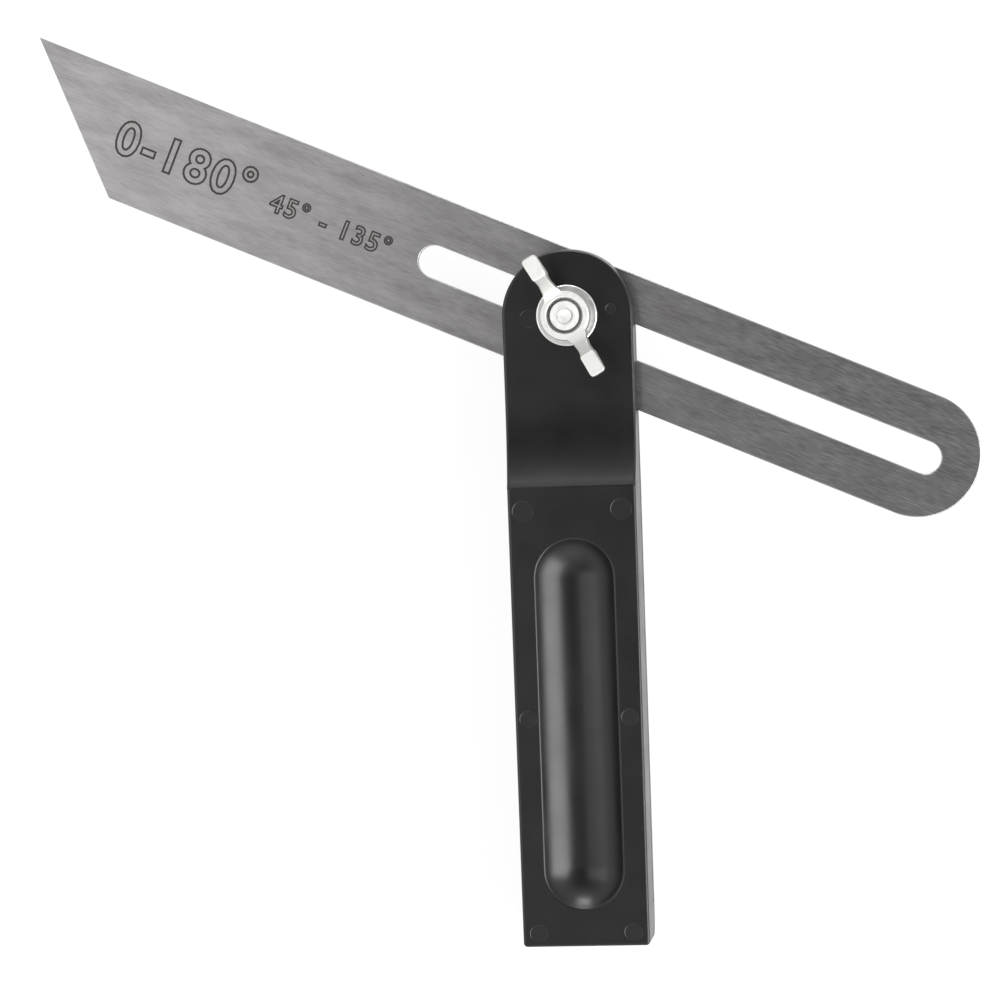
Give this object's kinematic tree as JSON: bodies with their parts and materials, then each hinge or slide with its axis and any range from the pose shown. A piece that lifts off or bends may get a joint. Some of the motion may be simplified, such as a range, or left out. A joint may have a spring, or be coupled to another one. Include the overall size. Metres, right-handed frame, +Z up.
{
  "type": "sliding bevel",
  "caption": "Sliding bevel: slotted steel blade that turns and slides on a bolt through a moulded stock, clamped by a washer and wing nut.",
  "frame": {"origin": "under the middle of the whole tool as set, on the surface that it lies on", "axes": "+Z up out of the stock's front face and along the pivot bolt, +Y along the stock from its butt to its round head, +X to the right of the stock"},
  "size_m": [0.1794, 0.179, 0.0255],
  "materials": {
    "moulded_plastic": "black satin moulding",
    "brushed_steel": "ground and brushed along the blade",
    "plated_steel": "bright zinc plating",
    "plated_casting": "bright plated casting"
  },
  "bodies": {
    "stock_body": {"stock": "moulded_plastic"},
    "bolt_body": {"pivot_bolt": "plated_steel"},
    "blade_body": {"blade": "brushed_steel"},
    "washer_body": {"clamp_washer": "plated_steel"},
    "nut_body": {"wing_nut": "plated_casting"}
  },
  "joints": [
    {"name": "blade_swing", "type": "hinge", "parent": "stock_body", "child": "bolt_body", "pos_m": [0.01173, 0.03189, 0.01], "axis": [0, 0, 1], "range_deg": [-233, 100]},
    {"name": "blade_slide", "type": "slide", "parent": "bolt_body", "child": "blade_body", "axis": [-0.9157, 0.4019, 0], "range_m": [-0.0265, 0.0719]},
    {"name": "nut_rise", "type": "slide", "parent": "bolt_body", "child": "washer_body", "axis": [0, 0, 1], "range_m": [0, 0.002]},
    {"name": "nut_turn", "type": "hinge", "parent": "washer_body", "child": "nut_body", "pos_m": [0.01173, 0.03189, 0.02], "axis": [0, 0, 1], "range_deg": [0, 720]}
  ],
  "couplings": [
    {"joint": "nut_turn", "follows": "nut_rise", "rad_per_m": 6283.2}
  ]
}
